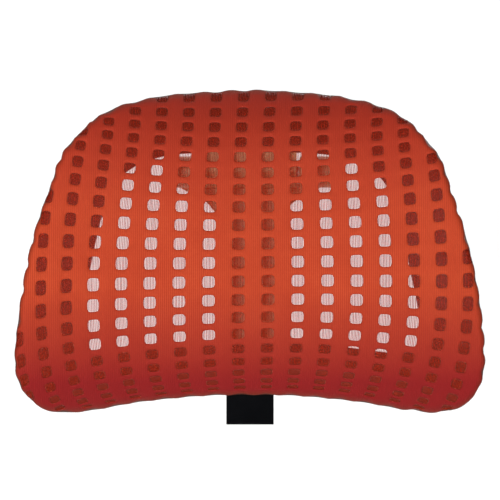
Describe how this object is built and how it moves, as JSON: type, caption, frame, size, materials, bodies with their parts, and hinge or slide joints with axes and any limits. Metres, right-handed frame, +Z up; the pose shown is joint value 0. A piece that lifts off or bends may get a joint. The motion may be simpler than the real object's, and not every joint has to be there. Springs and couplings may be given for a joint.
{
  "type": "chair headrest attachment",
  "caption": "Dished headrest pad with a perforated knit cover on a ring frame, tilting on a carriage that slides in steps on a flat bolt-on post.",
  "frame": {"origin": "middle of the rear mounting face on the foot of the post, between its two threaded inserts", "axes": "+X towards the right-hand wing as seen by someone facing the cover, +Y to the rear, out of the mounting face, +Z up"},
  "size_m": [0.3393, 0.1005, 0.2466],
  "materials": {
    "cover_knit": "taut warp-knit spacer mesh, orange-red, rows of open windows crossed by clear filaments",
    "frame_plastic": "dark glass-filled nylon, semi-gloss",
    "hem_plastic": "extruded polypropylene strip",
    "bezel_plastic": "fine-grained black nylon",
    "screw_steel": "black zinc-plated steel",
    "bush_acetal": "natural acetal",
    "housing_plastic": "black glass-filled nylon, satin",
    "housing_paint": "die-cast aluminium, painted bronze-olive, satin",
    "bright_steel": "ground steel",
    "cap_plastic": "black plastic, satin",
    "spring_steel": "spring wire",
    "post_plastic": "near-black glass-filled nylon bar",
    "insert_brass": "brass threaded insert"
  },
  "bodies": {
    "post": {"post_bar": "post_plastic", "post_top_cap": "cap_plastic", "foot_inserts": "insert_brass"},
    "carriage": {"carriage_housing": "housing_paint", "carriage_rear_cover": "housing_plastic", "carriage_screws": "screw_steel", "hinge_axle": "bright_steel", "axle_nut": "bright_steel", "friction_washers": "bush_acetal", "axle_end_caps": "cap_plastic", "glide_left": "bush_acetal", "glide_right": "bush_acetal", "travel_stop_screw": "screw_steel", "detent_spring": "spring_steel", "detent_cap": "cap_plastic"},
    "detent": {"detent_plunger": "bright_steel"},
    "head": {"mesh_cover": "cover_knit", "head_frame": "frame_plastic", "cover_hem_strip": "hem_plastic", "rear_bezel": "bezel_plastic", "bezel_screws": "screw_steel", "hinge_bushes": "bush_acetal"}
  },
  "joints": [
    {"name": "height_slide", "type": "slide", "parent": "post", "child": "carriage", "axis": [0, 0, 1], "range_m": [0, 0.048]},
    {"name": "head_tilt", "type": "hinge", "parent": "carriage", "child": "head", "pos_m": [0, -0.025, 0.162], "axis": [-1, 0, 0], "range_deg": [0, 22]},
    {"name": "detent_press", "type": "slide", "parent": "carriage", "child": "detent", "axis": [0, 1, 0], "range_m": [0, 0.0024], "stiffness_N_per_m": 1500, "deforming": ["detent_spring"]}
  ]
}
